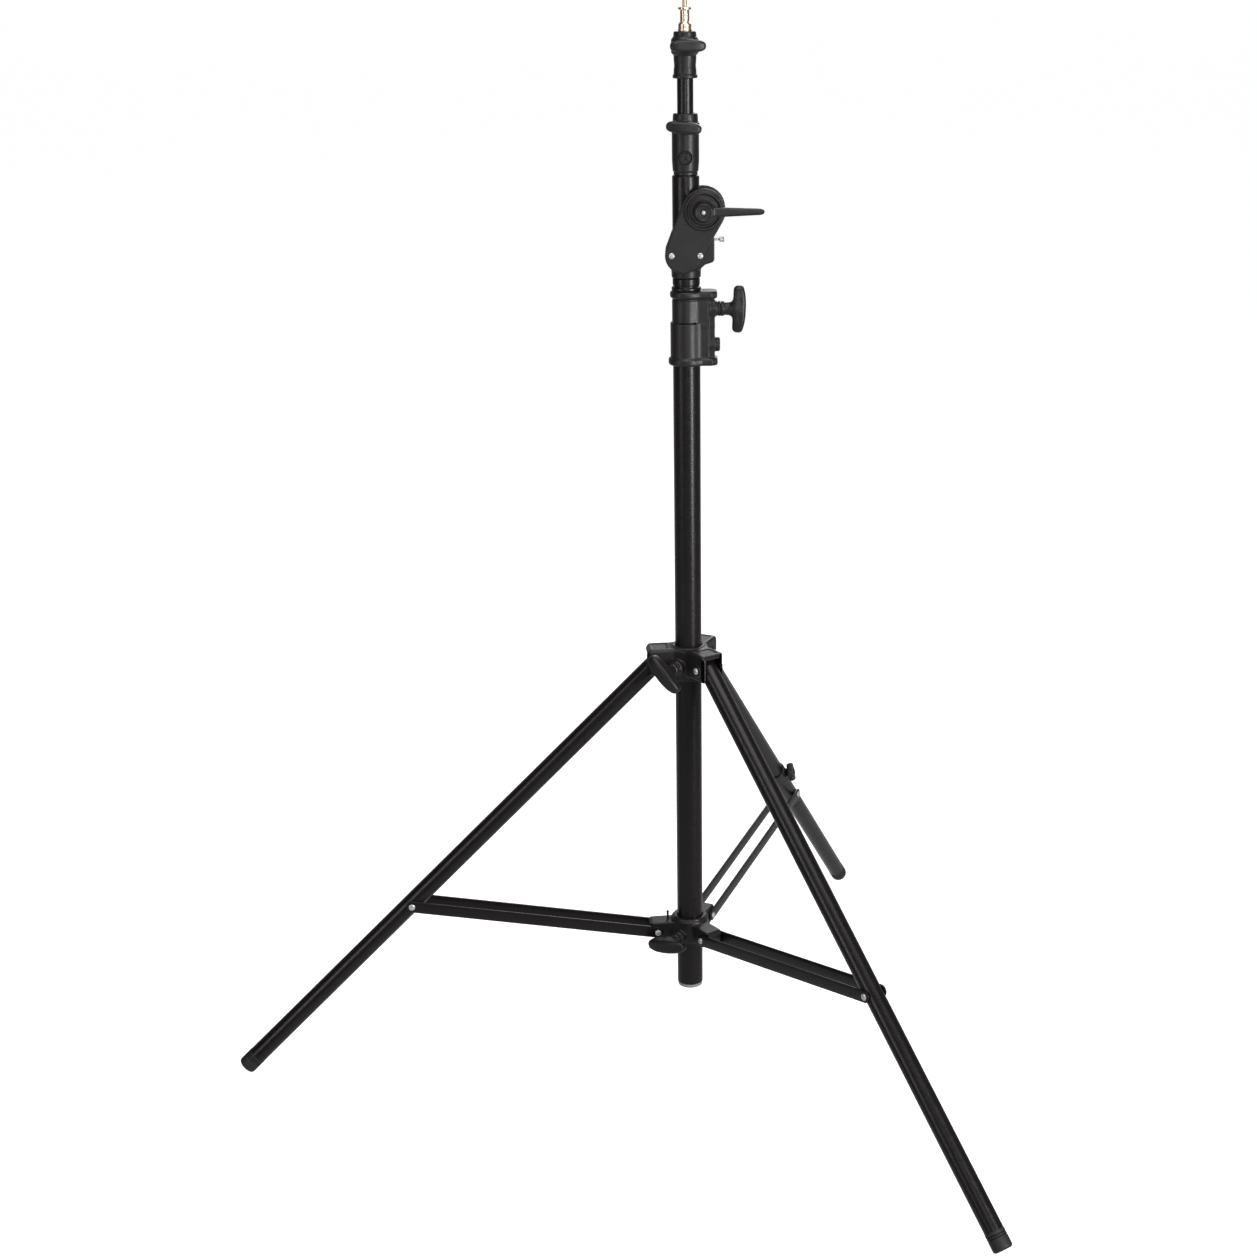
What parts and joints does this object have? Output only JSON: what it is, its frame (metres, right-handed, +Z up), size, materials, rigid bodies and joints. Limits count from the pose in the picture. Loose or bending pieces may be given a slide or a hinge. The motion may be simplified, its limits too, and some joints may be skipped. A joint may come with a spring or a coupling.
{
  "type": "combination light stand",
  "caption": "Folding tripod light stand with braced legs, a levelling leg, a telescopic riser and a tilting telescopic boom tip with a brass stud.",
  "frame": {"origin": "on the column axis at floor level", "axes": "+Z up along the column; the levelling leg points to +Y, the other two legs to 210 and 330 degrees from +X"},
  "size_m": [1.0982, 0.9545, 1.4266],
  "materials": {
    "black_tube": "satin black paint",
    "grey_casting": "fine-textured black powder coat",
    "black_plastic": "moulded, semi-matte",
    "zinc_steel": "bright zinc plate",
    "end_rim": "bare, lightly brushed",
    "brass": "machined",
    "foot_rubber": "matte",
    "glide_plastic": "moulded"
  },
  "bodies": {
    "column": {"column_tube": "black_tube", "column_end_plug": "end_rim", "clamp_housing": "grey_casting", "clamp_bolt": "black_plastic"},
    "column_clamp_knob": {"clamp_knob": "black_plastic", "clamp_screw": "zinc_steel"},
    "riser": {"riser_tube": "black_tube", "riser_ferrule": "black_tube", "riser_glide": "glide_plastic"},
    "head": {"head_casting": "grey_casting", "link_plate_front": "grey_casting", "link_plate_back": "grey_casting", "head_screws": "zinc_steel", "pivot_bolt": "zinc_steel"},
    "lock_pin": {"lock_pin": "zinc_steel"},
    "sleeve": {"boom_sleeve": "black_tube"},
    "ratchet": {"ratchet_handle": "black_plastic", "ratchet_cap": "zinc_steel"},
    "boom": {"boom_tube": "black_tube", "boom_collar": "grey_casting", "collar_screw": "black_plastic"},
    "boom_clamp_knob": {"boom_knob": "black_plastic", "boom_knob_screw": "zinc_steel"},
    "tip": {"tip_tube": "black_tube", "tip_glide": "glide_plastic", "tip_socket": "grey_casting"},
    "tip_clamp_knob": {"tip_knob": "black_plastic", "tip_knob_screw": "zinc_steel"},
    "stud": {"brass_stud": "brass"},
    "leg_collar": {"leg_collar": "grey_casting", "leg_pivot_bolts": "zinc_steel"},
    "leg_collar_clamp_knob": {"leg_collar_knob": "black_plastic", "leg_collar_screw": "zinc_steel"},
    "left_leg": {"left_leg_tube": "black_tube", "left_leg_plug": "black_plastic", "left_foot": "foot_rubber"},
    "right_leg": {"right_leg_tube": "black_tube", "right_leg_plug": "black_plastic", "right_foot": "foot_rubber"},
    "rear_leg": {"rear_leg_tube": "black_tube", "rear_leg_plug": "black_plastic", "level_clamp": "grey_casting"},
    "level_clamp_knob": {"level_knob": "black_plastic", "level_knob_screw": "zinc_steel"},
    "level_leg": {"level_tube": "black_tube", "level_liner": "black_tube", "level_foot": "foot_rubber"},
    "brace_collar": {"brace_collar": "grey_casting", "brace_pivot_bolts": "zinc_steel", "catch_pin": "black_plastic"},
    "brace_collar_clamp_knob": {"brace_collar_knob": "black_plastic", "brace_collar_screw": "zinc_steel"},
    "left_brace": {"left_brace_bars": "black_tube", "left_brace_bolts": "zinc_steel"},
    "right_brace": {"right_brace_bars": "black_tube", "right_brace_bolts": "zinc_steel"},
    "rear_brace": {"rear_brace_bars": "black_tube", "rear_brace_bolts": "zinc_steel"}
  },
  "joints": [
    {"name": "leg_fold", "type": "slide", "parent": "column", "child": "leg_collar", "axis": [0, 0, 1], "range_m": [0, 0.36516]},
    {"name": "brace_collar_drop", "type": "slide", "parent": "column", "child": "brace_collar", "axis": [0, 0, -1], "range_m": [0, 0.06202]},
    {"name": "rear_leg_swing", "type": "hinge", "parent": "leg_collar", "child": "rear_leg", "pos_m": [0, 0.043, 0.57871], "axis": [-1, 0, 0], "range_deg": [0, 43.31]},
    {"name": "left_leg_swing", "type": "hinge", "parent": "leg_collar", "child": "left_leg", "pos_m": [-0.03724, -0.0215, 0.57871], "axis": [0.5, -0.866, 0], "range_deg": [0, 43.31]},
    {"name": "right_leg_swing", "type": "hinge", "parent": "leg_collar", "child": "right_leg", "pos_m": [0.03724, -0.0215, 0.57871], "axis": [0.5, 0.866, 0], "range_deg": [0, 43.31]},
    {"name": "rear_brace_swing", "type": "hinge", "parent": "brace_collar", "child": "rear_brace", "pos_m": [0, 0.046, 0.1876], "axis": [1, 0, 0], "range_deg": [0, 77.89]},
    {"name": "left_brace_swing", "type": "hinge", "parent": "brace_collar", "child": "left_brace", "pos_m": [-0.03984, -0.023, 0.1876], "axis": [-0.5, 0.866, 0], "range_deg": [0, 77.89]},
    {"name": "right_brace_swing", "type": "hinge", "parent": "brace_collar", "child": "right_brace", "pos_m": [0.03984, -0.023, 0.1876], "axis": [-0.5, -0.866, 0], "range_deg": [0, 77.89]},
    {"name": "column_knob_turn", "type": "hinge", "parent": "column", "child": "column_clamp_knob", "pos_m": [0, 0, 1.0491], "axis": [0.916, 0.4011, 0], "continuous": true},
    {"name": "riser_lift", "type": "slide", "parent": "column", "child": "riser", "axis": [0, 0, 1], "range_m": [0, 0.75]},
    {"name": "head_pan", "type": "hinge", "parent": "riser", "child": "head", "pos_m": [0, 0, 1.0956], "axis": [0, 0, 1], "continuous": true},
    {"name": "boom_tilt", "type": "hinge", "parent": "head", "child": "sleeve", "pos_m": [0.02015, 0.00882, 1.1736], "axis": [-0.4011, 0.916, 0], "range_deg": [0, 120]},
    {"name": "ratchet_turn", "type": "hinge", "parent": "head", "child": "ratchet", "pos_m": [0.02015, 0.00882, 1.1736], "axis": [-0.4011, 0.916, 0], "range_deg": [-60, 60]},
    {"name": "lock_pin_pull", "type": "slide", "parent": "head", "child": "lock_pin", "axis": [0.916, 0.4011, 0], "range_m": [0, 0.005], "stiffness_N_per_m": 150},
    {"name": "boom_extend", "type": "slide", "parent": "sleeve", "child": "boom", "axis": [0, 0, 1], "range_m": [0, 0.05]},
    {"name": "boom_knob_turn", "type": "hinge", "parent": "boom", "child": "boom_clamp_knob", "pos_m": [0, 0, 1.2756], "axis": [0.3527, -0.9358, 0], "continuous": true},
    {"name": "tip_extend", "type": "slide", "parent": "boom", "child": "tip", "axis": [0, 0, 1], "range_m": [-0.04, 0.07]},
    {"name": "tip_knob_turn", "type": "hinge", "parent": "tip", "child": "tip_clamp_knob", "pos_m": [0, 0, 1.3716], "axis": [0.4947, -0.8691, 0], "continuous": true},
    {"name": "stud_lift", "type": "slide", "parent": "tip", "child": "stud", "axis": [0, 0, 1], "range_m": [0, 0.038]},
    {"name": "leg_collar_knob_turn", "type": "hinge", "parent": "leg_collar", "child": "leg_collar_clamp_knob", "pos_m": [0, 0, 0.57671], "axis": [-0.1392, -0.9903, 0], "continuous": true},
    {"name": "brace_collar_knob_turn", "type": "hinge", "parent": "brace_collar", "child": "brace_collar_clamp_knob", "pos_m": [0, 0, 0.1816], "axis": [-0.1736, -0.9848, 0], "continuous": true},
    {"name": "level_knob_turn", "type": "hinge", "parent": "rear_leg", "child": "level_clamp_knob", "pos_m": [0, 0.33401, 0.29274], "axis": [0.9397, 0.2397, 0.2439], "continuous": true},
    {"name": "level_extend", "type": "slide", "parent": "rear_leg", "child": "level_leg", "axis": [0, 0.7133, -0.7009], "range_m": [0, 0.1]}
  ],
  "couplings": [
    {"joint": "brace_collar_drop", "follows": "leg_fold", "ratio": 0.16979},
    {"joint": "rear_leg_swing", "follows": "leg_fold", "rad_per_m": 2.0696},
    {"joint": "left_leg_swing", "follows": "leg_fold", "rad_per_m": 2.0696},
    {"joint": "right_leg_swing", "follows": "leg_fold", "rad_per_m": 2.0696},
    {"joint": "rear_brace_swing", "follows": "leg_fold", "rad_per_m": 3.7222},
    {"joint": "left_brace_swing", "follows": "leg_fold", "rad_per_m": 3.7222},
    {"joint": "right_brace_swing", "follows": "leg_fold", "rad_per_m": 3.7222}
  ]
}
